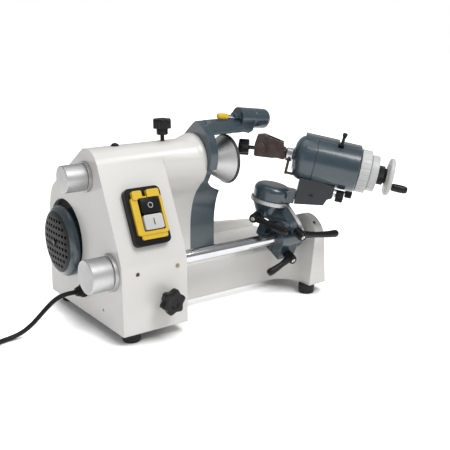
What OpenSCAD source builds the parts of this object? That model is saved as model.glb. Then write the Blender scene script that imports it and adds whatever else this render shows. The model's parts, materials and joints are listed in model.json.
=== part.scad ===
// Universal tool and drill grinder: free-standing bench machine, millimetres.
// X runs along the bed to the right, Y to the back, Z up. Feet stand on Z = 0.

/* [Headstock] */
// Width of the front block
head_w = 134; // [110:1:160]
// Depth of the base
head_d = 312; // [280:1:340]
// Height of the flat top above the floor
head_top = 340; // [320:1:360]
// Wall thickness of the casting
wall = 8; // [6:0.5:12]
// X of the nose face
nose_x = 228; // [215:1:240]
// Radius of the nose
nose_r = 53; // [48:1:60]

/* [Feet] */
// Height of the rubber feet
foot_h = 20; // [12:1:30]
// Radius of the rubber feet
foot_r = 17; // [12:0.5:22]

/* [Spindle] */
// Y of the grinding spindle
sp_y = 122; // [110:1:135]
// Z of the grinding spindle
sp_z = 290; // [275:1:305]
// Radius of the quill
quill_r = 24; // [20:0.5:28]
// Radius of the spindle shaft
shaft_r = 10; // [8:0.5:12]
// Radius of the wheel rim
wheel_r = 50; // [40:1:60]
// X of the wheel rim face
wheel_x = 309; // [295:1:320]
// Radius at the small end of the wheel
wheel_r0 = 22.5; // [18:0.5:30]

/* [Motor] */
// Y of the motor
mo_y = 225; // [215:1:235]
// Z of the motor
mo_z = 147; // [140:1:160]
// Radius of the motor can
mo_r = 58; // [50:1:62]
// Radius of the motor pulley groove
mpul_r = 25.5; // [20:0.5:32]
// Radius of the spindle pulley groove
spul_r = 13; // [11.5:0.5:14]
// Belt thickness
belt_t = 3; // [2:0.5:4]
// Belt width
belt_w = 18; // [12:1:20]

/* [Guide bar] */
// Y of the guide bar
bar_y = 40; // [34:1:48]
// Z of the guide bar
bar_z = 131; // [120:1:140]
// Radius of the guide bar
bar_r = 12.5; // [10:0.5:16]
// Radius of the feed sleeve
sleeve_r = 20; // [18:0.5:24]

/* [Bed] */
// Y of the front face of the bed
bed_y = 91; // [80:1:110]
// Height of the bed top
bed_z = 96; // [85:1:110]
// X of the left face of the end support
end_x = 447; // [430:1:460]
// Thickness of the end support at its foot
end_w = 45; // [35:1:55]
// Radius of the boss round the bar
boss_r = 39.6; // [34:0.1:44]

/* [Dials] */
// Radius of the spindle feed dial
dial1_r = 25; // [20:0.5:30]
// Length of the spindle feed dial
dial1_l = 40; // [30:1:50]
// Radius of the bar feed dial
dial2_r = 31; // [26:0.5:38]
// Length of the bar feed dial
dial2_l = 41; // [30:1:50]

/* [Carriage] */
// X of the left face of the carriage
car_x = 373; // [360:1:390]
// Length of the carriage along the bar
car_l = 53; // [45:1:60]
// Swing of the carriage round the bar, degrees
car_a = 26; // [15:1:35]
// Elevation of the tilt axis, degrees
tilt_e = 30; // [20:1:40]
// Radius of the tilt drum
drum_r = 30; // [26:0.5:32]

/* [Work head] */
// Turn of the head to the front, degrees
head_yaw = 42; // [30:1:50]
// Drop of the head toward its handwheel, degrees
head_tilt = 12; // [5:0.5:20]
// Height of the head axis above the swivel plane
axis_h = 100; // [92:1:108]
// Radius of the barrel
barrel_r = 46; // [40:0.5:50]
// Length of the barrel
barrel_l = 117; // [100:1:130]
// Radius of the swivel scale ring
scale_r = 40.5; // [36:0.5:46]
// Radius of the work spindle
wsp_r = 25; // [20:0.5:30]
// Largest tool shank radius
tool_r = 9; // [6:0.5:10]
// Radius of the handwheel
hw_r = 38; // [30:1:45]

/* [Fits] */
// Radial clearance of running fits
run_fit = 0.06; // [0.02:0.01:0.1]
// Gap between pieces that move past each other
gap = 0.35; // [0.3:0.05:0.6]

/* [Hidden] */
ox = 265.8; oy = 86;                       // shift that centres the footprint on the origin
fz = foot_h;
P = [car_x + 5, 62, 206];                // centre of the swivel ring
D = [car_x + 34, 15, 175];               // centre of the tilt drum face
H = [car_x - 29, 61, 177];               // seat of the swivel clamp lever
belt_x = head_w + 37;                    // middle of the belt
mo_end = head_w - wall - 0.1;            // flange end of the motor
wheel_back = wheel_x - 47;               // seat of the wheel on the spindle cone
dy = -26.5;                              // turn of the tilt axis seen from above
white = [0.86, 0.87, 0.87]; blue = [0.24, 0.33, 0.38]; alu = [0.78, 0.79, 0.8];
black = [0.08, 0.08, 0.09]; steel = [0.7, 0.71, 0.73]; brown = [0.27, 0.23, 0.22];
yellow = [0.92, 0.74, 0.1]; grey = [0.3, 0.3, 0.3]; ivory = [0.85, 0.86, 0.84];
feet = [[28, 24], [28, 286], [455, 32], [462, 280]];
hole_y = 226; hole_z = 156; hole_r = 73;  // opening for the fan cover
function arc(c, r, a0, a1, n = 12) = [for (i = [0 : n]) c + r * [cos(a0 + (a1 - a0) * i / n), sin(a0 + (a1 - a0) * i / n)]];
function sub(v, a, b) = [for (i = [a : b]) v[i]];
function mix(a, b, t) = a + (b - a) * t;
// smooth run through a list of points
function spl(p, n = 6) = [for (i = [1 : len(p) - 3]) for (k = [0 : n - 1]) let (t = k / n)
  0.5 * (2 * p[i] + (p[i + 1] - p[i - 1]) * t + (2 * p[i - 1] - 5 * p[i] + 4 * p[i + 1] - p[i + 2]) * t * t
  + (3 * p[i] - p[i - 1] - 3 * p[i + 1] + p[i + 2]) * t * t * t)];

module rodx(x0, x1, r) { translate([x0, 0, 0]) rotate([0, 90, 0]) cylinder(h = x1 - x0, r = r, $fn = 96); }
module conex(x0, x1, r0, r1) { translate([x0, 0, 0]) rotate([0, 90, 0]) cylinder(h = x1 - x0, r1 = r0, r2 = r1, $fn = 96); }
module rody(y0, y1, r) { translate([0, y0, 0]) rotate([-90, 0, 0]) cylinder(h = y1 - y0, r = r, $fn = 64); }
module rodz(z0, z1, r) { translate([0, 0, z0]) cylinder(h = z1 - z0, r = r, $fn = 64); }
module box(x0, x1, y0, y1, z0, z1) { translate([x0, y0, z0]) cube([x1 - x0, y1 - y0, z1 - z0]); }
// outline in Y,Z pulled along X
module along_x(x0, x1, pts) { translate([x0, 0, 0]) rotate([90, 0, 90]) linear_extrude(height = x1 - x0) polygon(pts); }
// outline in X,Z pulled along Y
module along_y(y0, y1, pts) { translate([0, y1, 0]) rotate([90, 0, 0]) linear_extrude(height = y1 - y0) polygon(pts); }
// turned profile [x, r] about the X axis
module turned(pts) { rotate([0, 90, 0]) rotate_extrude($fn = 96) polygon([for (p = pts) [p[1], p[0]]]); }
module at_spindle() { translate([0, sp_y, sp_z]) children(); }
module at_motor() { translate([0, mo_y, mo_z]) children(); }
module at_bar() { translate([0, bar_y, bar_z]) children(); }
module at_slope() { translate([0, 0, 152]) rotate([65, 0, 0]) children(); }
module at_swing() { translate([0, bar_y, bar_z]) rotate([car_a, 0, 0]) children(); }
module at_tilt() { translate(D) rotate([0, -tilt_e, dy]) children(); }
module at_head() { translate(P) rotate([0, head_tilt, -head_yaw]) children(); }
module at_axis() { at_head() translate([0, 0, axis_h]) children(); }
module at_dresser() { translate([338, 100, 373]) rotate([0, 7, 0]) children(); }

// outlines in Y,Z
shoulder = arc([112.5, head_top - 39.1], 39.1, 155, 90, 14);
block_out = concat([[0, fz], [0, 140]], spl([[0, 130], [0, 140], [1.5, 150], [5.4, 162], [11.2, 176]], 4),
  [[11.2, 176]], shoulder, [[132, head_top]],
  arc([236, 204], 60, 57, 8, 10), [[298, 206], [309, 93], [head_d, fz]]);
block_in = concat([[wall, fz - 1], [wall, 146], [wall + 80, 318], [118, 331], [131, 331]],
  arc([236, 204], 52, 57, 8, 8), [[290, 206], [301, 93], [head_d - wall, fz - 1]]);
front_run = spl([[71, 320], [70.5, 306], [74, 290], [81, 273], [94, 252], [112, 231], [124, 206], [131, 175], [133, 140], [133, 96], [133, 60]], 5);
pillar_out = concat([[133, bed_z]], [for (i = [len(front_run) - 1 : -1 : 0]) front_run[i]],
  sub(shoulder, 1, 14), [[132, head_top]], arc([236, 204], 60, 57, 8, 10), [[298, 206], [308.7, bed_z]]);
pillar_in = concat([[142, bed_z + 8], [142, 170], [134, 208], [120, 236], [98, 262]],
  arc([sp_y, 292], 38, 205, 90, 12), [[150, 322]], arc([236, 204], 52, 57, 8, 8), [[290, 206], [300, bed_z + 8]]);
guard_out = concat([[133, bed_z]], [for (i = [len(front_run) - 1 : -1 : 8]) front_run[i]],
  arc([121, 311], 64, 205, 112, 20), spl([[88, 364], [97, 371.5], [108, 374], [122, 366], [138, 354], [155, 340], [172, 320], [186, 296], [197, 262], [200, 230], [200, 200]], 3),
  [[200, bed_z]]);

module star(r, h, lobes = 6) {
  difference() {
    union() { cylinder(h = h, r = r * 0.8, $fn = 72); for (i = [0 : lobes - 1]) rotate(i * 360 / lobes) translate([r * 0.74, 0, 0]) cylinder(h = h, r = r * 0.27, $fn = 32); }
    for (i = [0 : lobes - 1]) rotate((i + 0.5) * 360 / lobes) translate([r * 1.04, 0, -1]) cylinder(h = h + 2, r = r * 0.27, $fn = 32);
    translate([0, 0, h - 2]) cylinder(h = 3, r = r * 0.3, $fn = 48);
  }
}
// clamp lever: screw axis is local Z, arm runs out along local X
module lever(l, r = 9, stud = 14) {
  difference() {
    union() {
      rodz(0, 22, r);
      translate([0, 0, 22]) rodz(0, 3, r - 1.5);
      translate([0, 0, 12]) rotate([0, 90 - 8, 0]) cylinder(h = l - 8, r1 = 6.2, r2 = 5, $fn = 40);
      translate([(l - 8) * cos(8), 0, 12 + (l - 8) * sin(8)]) sphere(r = 6.6, $fn = 40);
    }
    rodz(21, 26, 5);
  }
  rodz(19, 23.5, 4.4);
  rodz(-stud, 0.5, 4);
}
module face(p, x, z) {
  y = cross(z, x);
  translate(p) rotate([atan2(y[2], z[2]), -asin(x[2]), atan2(x[1], x[0])]) children();
}

module headstock_casting() color(white) difference() {
  union() {
    difference() {
      along_x(0, head_w, block_out);
      along_x(wall, head_w - wall, block_in);
    }
    difference() {
      along_x(head_w - 0.01, nose_x, pillar_out);
      along_x(head_w + 8, nose_x - wall, pillar_in);
    }
    translate([0, sp_y, 297]) difference() {
      turned([[184, 0], [184, 42.8], [190, 43.2], [202, 45.8], [213, 49.8], [221, nose_r - 0.6], [nose_x, nose_r], [nose_x, 0]]);
      translate([0, 0, sp_z - 297]) rodx(160, nose_x - wall, 38);
    }
    at_spindle() rodx(0, head_w, 32);
    at_spindle() rodx(190, nose_x, 38.1);
    at_bar() rodx(0, head_w, 28);
    translate([87, 0, 76]) rody(0, 40, 13);
    translate([belt_x - 10, sp_y, 0]) rodz(sp_z + quill_r + 2, head_top, 11);
    translate([60, sp_y, 0]) rodz(sp_z + 28, head_top, 8);
    box(2, head_w - 2, bar_y - 6, bar_y + 6, fz, bar_z - 20);
    for (f = [feet[0], feet[1]]) translate([f[0], f[1], 0]) rodz(fz, fz + 26, 12);
    for (x = [3, 100]) for (y = [3, 264]) box(x, x + 30, y, y + 45, fz, fz + 9);
  }
  at_spindle() rodx(-1, nose_x + 1, quill_r + run_fit);
  at_bar() rodx(-1, 122, sleeve_r + run_fit);
  at_bar() rodx(121, head_w + 1, bar_r + run_fit);
  translate([0, hole_y, hole_z]) rodx(-1, wall + 2, hole_r);
  at_motor() rodx(head_w - wall - 1, head_w + 9, 40);
  translate([87, 0, 76]) rody(-1, 41, 5 + run_fit);
  translate([belt_x - 10, sp_y, 0]) rodz(sp_z + quill_r, head_top + 1, 4 + run_fit);
  translate([60, sp_y, 0]) rodz(sp_z + 20, head_top + 1, 4);
  translate([113.8, 0, 132.6]) rody(-1, 26, 4);
  translate([32.2, 0, 130.8]) rody(-1, 26, 4);
  translate([0, 77, 48]) rodx(-1, wall + 1, 3);
  translate([0, 152, 65]) rodx(-1, wall + 1, 8);
  at_slope() box(40, 98, 44, 116, -14, 1);
  for (f = [feet[0], feet[1]]) translate([f[0], f[1], 0]) rodz(fz - 1, fz + 20, 3);
  at_spindle() for (a = [40, 160, 280]) rotate([a, 0, 0]) translate([0, 37, 0]) rodx(nose_x - 16, nose_x + 1, 2.5);
  for (y = [52, 260]) translate([116, y, 0]) rodz(fz - 1, fz + 8, 2.2);
}

module bed_casting() color(white) difference() {
  union() {
    along_x(head_w, end_x + 1, concat([[bed_y, fz]], arc([bed_y + 9, bed_z - 9], 9, 180, 90, 8), [[head_d - 12, bed_z], [head_d - 12, fz]]));
    along_y(244, 258, [[nose_x, 60], [nose_x, 134], [end_x + 28, 111], [end_x + 28, 60]]);
    difference() {
      box(400, end_x, 44, bed_y + 1, fz, bed_z);
      translate([400, 44, 0]) rodz(fz - 1, bed_z + 1, 47);
    }
    along_x(end_x, end_x + end_w, concat([[14, fz]], arc([bar_y, bar_z], boss_r, 187, 20, 24), [[92, 108], [110, bed_z], [head_d - 12, bed_z], [head_d - 12, fz]]));
  }
  translate([end_x + end_w, -10, fz]) rotate([0, -10, 0]) box(0, 60, 0, 330, -20, 220);
  box(head_w + 8, end_x - 10, bed_y + 9, head_d - 21, fz - 1, bed_z - 9);
  box(end_x + 8, end_x + end_w - 18, 50, 270, fz - 1, bed_z - 14);
  at_bar() rodx(end_x - 1, end_x + end_w + 1, bar_r + run_fit);
  translate([end_x + 6, 0, 157]) rody(-4, 40, 3);
  for (f = [feet[2], feet[3]]) translate([f[0], f[1], 0]) rodz(fz - 1, fz + 20, 3);
}

module base_plate() color(steel) difference() {
  box(5, head_w - 5, 46, 266, fz - 2.5, fz);
  for (y = [52, 260]) translate([116, y, 0]) rodz(fz - 4, fz + 1, 2.2);
  for (i = [0 : 7]) box(30, 90, 90 + i * 16, 95 + i * 16, fz - 4, fz + 1);
}
module rubber_feet() color(black) for (f = feet) translate([f[0], f[1], 0]) difference() {
  union() { rodz(0, 4, foot_r - 1); translate([0, 0, 4]) cylinder(h = fz - 4, r1 = foot_r - 1, r2 = foot_r, $fn = 64); }
  rodz(-1, fz + 1, 3.2);
  rodz(-1, 8, 7);
}
module machine_screws() color(steel) {
  for (f = feet) translate([f[0], f[1], 0]) { rodz(3, 8, 6); rodz(3, fz + 18, 3); }
  translate([32.2, 0, 130.8]) rody(3, 19, 4);
  translate([end_x + 6, 0, 157]) rody(10, 27, 3);
  at_motor() { rodx(-27.5, -25, 5); rodx(-25, -18, 3); }
  at_spindle() for (a = [40, 160, 280]) rotate([a, 0, 0]) translate([0, 37, 0]) { rodx(nose_x - 14, 245, 2.5); rodx(245, 249, 4.5); }
  for (y = [52, 260]) translate([116, y, 0]) { rodz(fz - 2.5, fz + 6, 2.2); rodz(fz - 5, fz - 2.5, 4); }
}
module brass_screw() color([0.7, 0.5, 0.25]) translate([113.8, 0, 132.6]) difference() { rody(-1, 19, 4); box(-5, 5, -2, 0.4, -0.6, 0.6); }

module motor_housing() color([0.32, 0.36, 0.4]) at_motor() difference() {
  union() { rodx(22, mo_end, mo_r); rodx(mo_end - 8, mo_end, mo_r + 2); for (i = [0 : 17]) rotate([i * 20, 0, 0]) box(34, mo_end - 14, -1.5, 1.5, mo_r - 2, mo_r + 3); }
  rodx(29, mo_end - 9, mo_r - 7);
  rodx(21, mo_end + 1, 8 + run_fit);
}
module motor_shaft() color(steel) at_motor() { rodx(4, belt_x + 19, 8); rodx(42, mo_end - 22, 34); }
module cooling_fan() color(black) at_motor() difference() {
  union() { rodx(5, 19, 14); rodx(17, 19, 48); for (i = [0 : 6]) rotate([i * 360 / 7 + 4, 0, 0]) box(7, 18, 11, 45, -1.2, 1.2); }
  rodx(4, 20, 8);
}
module motor_pulley() color(alu) at_motor() difference() {
  union() { rodx(belt_x - 11, belt_x + 11, mpul_r); rodx(belt_x - 13, belt_x - 11, mpul_r + 4.5); rodx(belt_x + 11, belt_x + 13, mpul_r + 4.5); }
  rodx(belt_x - 14, belt_x + 14, 8);
}
module fan_cover() color(grey) at_motor() difference() {
  turned([[26, mo_r + 0.05], [26, 61], [4, 61], [0, 61.6], [-2.4, 64], [-3.4, 69.6], [-9, 69.6], [-15, 66.6], [-19.5, 60], [-22.5, 50], [-24.4, 36], [-25, 20], [-25, 0], [-22.4, 0], [-22.4, 20],
    [-21.8, 35], [-19.6, 48.6], [-16.6, 58], [-12.5, 63.4], [-8, 66.6], [-5, 66], [-2.6, 62], [0, 59.4], [20, mo_r + 0.05]]);
  for (r = [-3.5 : 3.5]) for (c = [-4 : 4]) if (pow(c * 11.5, 2) + pow(r * 12.5, 2) < 2500)
    box(-30, -8, c * 11.5 - 3.6, c * 11.5 + 3.6, r * 12.5 - 2.8, r * 12.5 + 2.8);
  rodx(-26, -20, 3);
}
module belt_loop(w0, w1, o) {
  d = [sp_y - mo_y, sp_z - mo_z]; l = norm(d); a = atan2(d[1], d[0]); R = mpul_r + o; r = spul_r + o; b = acos((R - r) / l);
  along_x(w0, w1, concat(arc([mo_y, mo_z], R, a + b, a + 360 - b, 36), arc([sp_y, sp_z], r, a - b, a + b, 24)));
}
module drive_belt() color(black) difference() {
  belt_loop(belt_x - belt_w / 2, belt_x + belt_w / 2, gap + belt_t);
  belt_loop(belt_x - 11, belt_x + 11, gap);
}

module quill() color(steel) at_spindle() difference() {
  rodx(30, 240, quill_r);
  rodx(29, 241, 6 + run_fit);
  rodx(46, 241, 18);
  rotate([-52, 0, 0]) box(belt_x - 17, belt_x + 17, -2, 40, -30, 30);
}
module spindle_bearings() color(alu) at_spindle() for (x = [56, 128, 200, 226]) difference() {
  rodx(x, x + 12, 18);
  rodx(x - 1, x + 13, shaft_r + run_fit);
}
module spindle_shaft() color(steel) at_spindle() difference() {
  union() { rodx(54, wheel_back + 6, shaft_r); conex(241, wheel_back, 15, 19); rodx(238.8, 241, 15); }
  rodx(wheel_back - 12, wheel_back + 7, 3);
}
module spindle_pulley() color(alu) at_spindle() difference() {
  rodx(belt_x - 14, belt_x + 14, spul_r);
  rodx(belt_x - 15, belt_x + 15, shaft_r);
}
module wheel_body() color(alu) at_spindle() difference() {
  turned([[wheel_back, 0], [wheel_back, wheel_r0], [wheel_back + 3, wheel_r0 + 1], [wheel_x - 5, wheel_r - 2.5], [wheel_x - 5, wheel_r - 9],
    [wheel_back + 17, wheel_r0 + 4.5], [wheel_back + 15, wheel_r0 + 1.5], [wheel_back + 15, 0]]);
  rodx(wheel_back - 1, wheel_back + 6.4, shaft_r);
  rodx(wheel_back - 1, wheel_back + 16, 4);
}
module abrasive_rim() color(black) at_spindle() turned([[wheel_x - 5, wheel_r - 9], [wheel_x - 5, wheel_r - 2.5], [wheel_x - 4, wheel_r - 1], [wheel_x, wheel_r], [wheel_x, wheel_r - 7]]);
module wheel_screw() color(steel) at_spindle() translate([wheel_back, 0, 0]) difference() { union() { rodx(15, 23, 8); rodx(6.4, 15, 3.9); rodx(-7, 6.4, 2.9); } rodx(18, 24, 3.5); }

module dial_base(r, l, spig, bore) { difference() { union() { rodx(-l, 0, r); rodx(0, 16, spig); } rodx(-l - 1, 17, bore + gap); } }
module dial_bases() color(alu) { at_spindle() dial_base(28, 7, quill_r, 6); at_bar() dial_base(34.5, 8, sleeve_r, 7); }
module spindle_dial() color(alu) at_spindle() difference() {
  union() { rodx(-7 - gap - dial1_l, -7 - gap, dial1_r); rodx(-8, 48, 6); }
  translate([-17, 0, 10]) rodz(0, 20, 2.5);
}
module bar_dial() color(alu) at_bar() difference() {
  union() { rodx(-8 - gap - dial2_l, -8 - gap, dial2_r); rodx(-9, 66, 7); }
  translate([-18, 0, 18]) rodz(0, 20, 2.5);
}
module feed_sleeve() color(steel) at_bar() difference() { rodx(30, 110, sleeve_r); rodx(29, 111, 7 + run_fit); rodx(78, 111, bar_r + run_fit); }
module guide_bar() color(steel) at_bar() { rodx(79, 482, bar_r); conex(482, 484, bar_r, bar_r - 1.5); }

module front_star_knob() color(black) translate([87, 0, 76]) { rody(-18, 38, 5); rody(-18, -gap, 9); translate([0, -18, 0]) rotate([90, 0, 0]) rotate(12) star(24.5, 14); }
module top_star_knob() color(black) translate([belt_x - 10, sp_y, 0]) { rodz(sp_z + quill_r + gap, 352, 4); rodz(352, 364, 11); translate([0, 0, 364]) star(19, 18); }
module oil_plug() color(black) translate([60, sp_y, 0]) { rodz(326, head_top, 4); rodz(head_top, head_top + 2, 7.5); difference() { translate([0, 0, head_top - 3.4]) sphere(r = 9, $fn = 48); rodz(head_top - 20, head_top + 1.9, 12); } }
function rr(x0, x1, y0, y1, r) = concat(arc([x0 + r, y0 + r], r, 180, 270, 6), arc([x1 - r, y0 + r], r, 270, 360, 6), arc([x1 - r, y1 - r], r, 0, 90, 6), arc([x0 + r, y1 - r], r, 90, 180, 6));
module slab(z0, z1, pts) { translate([0, 0, z0]) linear_extrude(height = z1 - z0) polygon(pts); }
stop_y = [82, 109]; start_y = [52, 79];
module switch_box() color(black) at_slope() difference() {
  union() { slab(0.12, 12, rr(32, 104, 26, 131, 10)); box(41, 97, 45, 115, -34, 0); }
  box(44, 94, 48, 112, -31, 6);
  for (b = [stop_y, start_y]) slab(5, 13, rr(55 - gap, 93 + gap, b[0] - gap, b[1] + gap, 4));
}
module switch_frame() color(yellow) at_slope() difference() {
  union() { slab(12, 17, rr(39, 101, 44, 113, 5)); slab(12, 20, rr(43, 62, 108, 124, 3)); slab(12, 20, rr(72, 97, 108, 124, 3)); slab(12, 15, rr(46, 98, 36, 50, 4)); }
  slab(11, 21, rr(52, 96, 50, 110, 3));
}
module button(y) { slab(7, 20, rr(55, 93, y[0], y[1], 4)); slab(-6, 7, rr(62, 86, y[0] + 6, y[1] - 6, 3)); }
module stop_button() color(black) at_slope() button(stop_y);
module start_button() color(ivory) at_slope() button(start_y);

module wheel_guard() color(blue) difference() {
  union() {
    difference() { along_x(nose_x, 245, guard_out); at_spindle() rodx(nose_x - 1, 246, 32); }
    difference() {
      along_x(245 - 0.01, 286, guard_out);
      at_spindle() conex(244, 286.1, 46, 61);
      box(240, 290, 0, 135, 262, 400);
      box(240, 290, 134, 260, 330, 400);
    }
    along_x(244, 322, [[79, 350], [79, 356], [84, 362], [98, 374], [104, 375], [112, 373], [124, 364], [130, 354], [126, 347], [83, 347]]);
  }
  at_spindle() for (a = [40, 160, 280]) rotate([a, 0, 0]) translate([0, 37, 0]) rodx(nose_x - 1, 246, 2.7);
  at_dresser() { rodx(-70, -10, 4 + gap); rodx(-70, -38, 6 + gap); }
}
module dresser_block() color(blue) difference() {
  at_dresser() {
    rodx(-16, 16, 20);
    rodx(-27, -15, 10);
    translate([0, 14, 0]) rotate([90, 0, 0]) linear_extrude(height = 30) polygon([[-16, 0], [16, 0], [16, -14], [13, -24], [4, -29], [-20, -26.5]]);
  }
  at_dresser() rodx(-28, 19, 4 + run_fit);
  box(290, 322, 60, 160, 330, 375);
  at_dresser() translate([4, 0, 14]) rodz(0, 30, 3);
}
module dresser_shaft() color(steel) at_dresser() rodx(-56, 30, 4);
module dresser_cap() color(yellow) at_dresser() difference() { union() { rodx(-60, -42, 6); translate([-60, 0, 0]) sphere(r = 6, $fn = 48); } rodx(-56, -41, 4); }
module dresser_knob() color(blue) at_dresser() difference() {
  turned([[16 + gap, 0], [16 + gap, 20], [48, 20], [53, 18], [56, 14], [57.6, 8], [58, 0]]);
  rodx(15, 40, 4 + run_fit);
}

module cable_gland() color(black) translate([0, 152, 65]) difference() {
  union() { rodx(-9, 0, 13); conex(-20, -9, 7.5, 11); rodx(0, 12, 8); }
  rodx(-25, 13, lead_r + 0.6);
}
lead_r = 4.3;
lead_pts = [[-2, 152, 65], [-20, 152, 65], [-32, 152, 65], [-45, 152, 64], [-57, 152, 60.5], [-69, 152, 53.5], [-82, 152, 43.5], [-96, 152, 31.5], [-110, 152, 20.5],
  [-127, 152, 11], [-146, 151.5, 6], [-167, 149, 4.5], [-184, 141.5, 4.5], [-196, 128, 4.5], [-205, 112, 4.5], [-217, 98, 4.5], [-230, 88.5, 4.5]];
function unit(v) = v / norm(v);
lead_run = concat([lead_pts[0]], spl(concat([lead_pts[0]], lead_pts, [[-246, 82, 4.5]]), 3), [lead_pts[16]]);
lead_ring = sub(lead_run, 1, len(lead_run) - 2);
module tube(p, r, n = 10) {
  m = len(p);
  t = [for (i = [0 : m - 1]) unit(p[min(i + 1, m - 1)] - p[max(i - 1, 0)])];
  s = [for (i = [0 : m - 1]) unit(cross(t[i], [0.1, 0.05, 1]))];
  v = [for (i = [0 : m - 1]) let (u = cross(s[i], t[i])) for (k = [0 : n - 1]) p[i] + r * (cos(k * 360 / n) * s[i] + sin(k * 360 / n) * u)];
  f = concat([[for (k = [0 : n - 1]) k]], [for (i = [0 : m - 2]) for (k = [0 : n - 1]) [i * n + k, (i + 1) * n + k, (i + 1) * n + (k + 1) % n, i * n + (k + 1) % n]],
    [[for (k = [n - 1 : -1 : 0]) (m - 1) * n + k]]);
  polyhedron(points = v, faces = f, convexity = 6);
}
coil_at = [-275, 135, 0];                // middle of the coil
plug_at = [-238.2, 246.2, 19];           // middle of the plug
module power_lead() color(black) tube(lead_ring, lead_r);
module lead_coil() color(black) translate(coil_at) rotate_extrude($fn = 72) polygon(rr(42.4, 60, 0.2, 17.6, 4.3));
module mains_plug() color(black) translate(plug_at) rotate([0, 0, -136.4]) {
  rodx(-38, 14, 18.5); conex(14, 40, 14, 6);
  for (y = [-9.5, 9.5]) translate([0, y, 0]) rodx(-57, -37, 2.4);
}

module carriage() color(blue) difference() {
  union() {
    at_bar() rodx(car_x, car_x + car_l, 27);
    at_swing() box(car_x + 3, car_x + car_l - 10, -26, 20, -38, 0);
    at_swing() box(car_x - 16, car_x + 23, 18, 40, -14, 14);
    at_tilt() rodx(-42, -22 - gap, 16);
  }
  at_bar() rodx(car_x - 20, car_x + car_l + 20, bar_r + run_fit);
  at_tilt() rodx(-22 - gap, 20, drum_r + 3);
  at_swing() box(car_x - 1, car_x + car_l + 1, -1, 1, -40, 0);
  at_swing() translate([car_x + 22, 0, -25]) rody(-30, 24, 4 + run_fit);
  at_tilt() rodx(-36, -20, 6 + run_fit);
}
module carriage_lever() color(black) at_swing() translate([car_x + 22, -26.4, -25]) rotate([90, 0, 0]) rotate([0, 0, 180 + 24]) lever(62, 9, 40);
module tilt_lever() color(black) at_swing() translate([car_x + 15, -33.4, 43.4]) rotate([90, 0, 0]) rotate([0, 0, -4]) lever(96, 9, 14);
module tilt_body() color(blue) difference() {
  union() {
    at_tilt() rodx(-22, -6, drum_r);
    at_swing() translate([car_x + 15, 0, 43.4]) rody(-33, -20, 10);
    at_head() translate([0, 0, -30]) cylinder(h = 26, r1 = 24, r2 = 37, $fn = 96);
    difference() {
      hull() { at_head() rodz(-32, -28, 22); at_tilt() rodx(-21, -9, 26); }
      at_bar() rodx(car_x - 43, car_x + 67, 32);
      at_tilt() rodx(-70, -22, 18);
    }
    face(H, [0.4554, -0.8574, -0.2404], [-0.883, -0.469, 0]) rodz(-34, 0, 11);
  }
  at_head() { rodz(-20, 1, 9 + run_fit); rodz(-4, 5, scale_r); }
  at_tilt() rodx(-6, 1, drum_r + 1.5);
  at_tilt() rodx(-23, -5, 6 + run_fit);
  at_swing() translate([car_x + 15, 0, 43.4]) rody(-34, -18, 4 + run_fit);
  face(H, [0.4554, -0.8574, -0.2404], [-0.883, -0.469, 0]) rodz(-30, 1, 4 + run_fit);
}
module scale_rings() color(alu) {
  at_head() difference() { rodz(-4, 3.6, scale_r); rodz(-6, 5, 9 + run_fit); }
  at_tilt() difference() { rodx(-6, 0, drum_r + 1.5); rodx(-7, 1, 6 + run_fit); }
}
module swivel_lever() color(black) face(H + 0.4 * [-0.883, -0.469, 0], [0.4554, -0.8574, -0.2404], [-0.883, -0.469, 0]) lever(80, 9, 26);
module swivel_arm() color(blue) at_head() difference() {
  union() {
    translate([0, 0, 0]) rotate_extrude($fn = 96) polygon(concat([[0, 4 + gap], [37, 4 + gap]], arc([24, 20], 14, 0, 90, 10), [[0, 35]]));
    box(0, 46, -22, 22, 8, 30);
    box(40, 100, -14, 14, 16, 28);
    rodz(-18, 5, 9);
  }
}
module head_bracket() color(grey) at_head() difference() {
  union() {
    along_y(-30, 30, [[47, 10], [104, 20], [109, 33], [118, 38], [118, 62], [47, 70]]);
  }
  translate([0, 0, axis_h]) rodx(40, 130, barrel_r + 0.05);
  box(46, 101, -14 - gap, 14 + gap, 16 - gap, 28 + gap);
  translate([0, -22, 44]) rodx(98, 127, 3.5 + run_fit);
  translate([0, 14, 46]) rodx(98, 127, 3 + run_fit);
  translate([76, 0, 36]) rody(-31, -12, 4); translate([76, 0, 36]) rody(-31, -24, 6.6);
}
module knurled(x0, x1, r, n) { difference() { rodx(x0, x1, r); for (i = [0 : n - 1]) rotate([i * 360 / n, 0, 0]) translate([0, r + 0.6, 0]) rodx(x0 - 1, x1 + 1, 1.4); } }
module bracket_screws() color(steel) at_head() translate([76, 0, 36]) difference() { union() { rody(-30, -24, 6.6); rody(-24, -12, 4); } rody(-31, -26, 3.2); }
module adjust_knob() color(black) at_head() translate([0, -22, 44]) { rodx(100, 126, 3.5); knurled(124, 139, 12, 20); }
module lock_knob() color(black) at_head() translate([0, 14, 46]) { rodx(100, 146, 3); knurled(144, 158, 9.5, 18); }
module head_barrel() color(blue) at_axis() difference() {
  union() {
    turned([[24, 0], [24, 20], [26, 28], [30, 36], [35, 41.5], [42, 44.6], [66, 45], [66, 43.6], [68, 43.6], [68, barrel_r], [38 + barrel_l - 2, barrel_r], [38 + barrel_l, 44], [38 + barrel_l, 0]]);
    box(40, 108, -15, 15, 36, 49.2);
    box(116, 153, -15, 15, 36, 47.4);
  }
  rodx(20, 160, wsp_r + run_fit);
  rotate([25, 0, 0]) box(105.5, 116.5, -6, 6, 24, 60);
  translate([0, -16, -34]) rodx(20, 60, 2.8);
}
module index_lever() color(black) at_axis() rotate([25, 0, 0]) translate([109.8, 0, 0]) rotate([0, 2, 0]) { rodz(27, 69, 3); translate([0, 0, 67]) cylinder(h = 9, r1 = 3, r2 = 5.2, $fn = 40); }
module stop_rod() color(black) at_axis() translate([0, -16, -34]) { rodx(14, 58, 2.8); translate([16.8, 0, -2.8]) rodz(0, 32, 2.8); }
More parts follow.
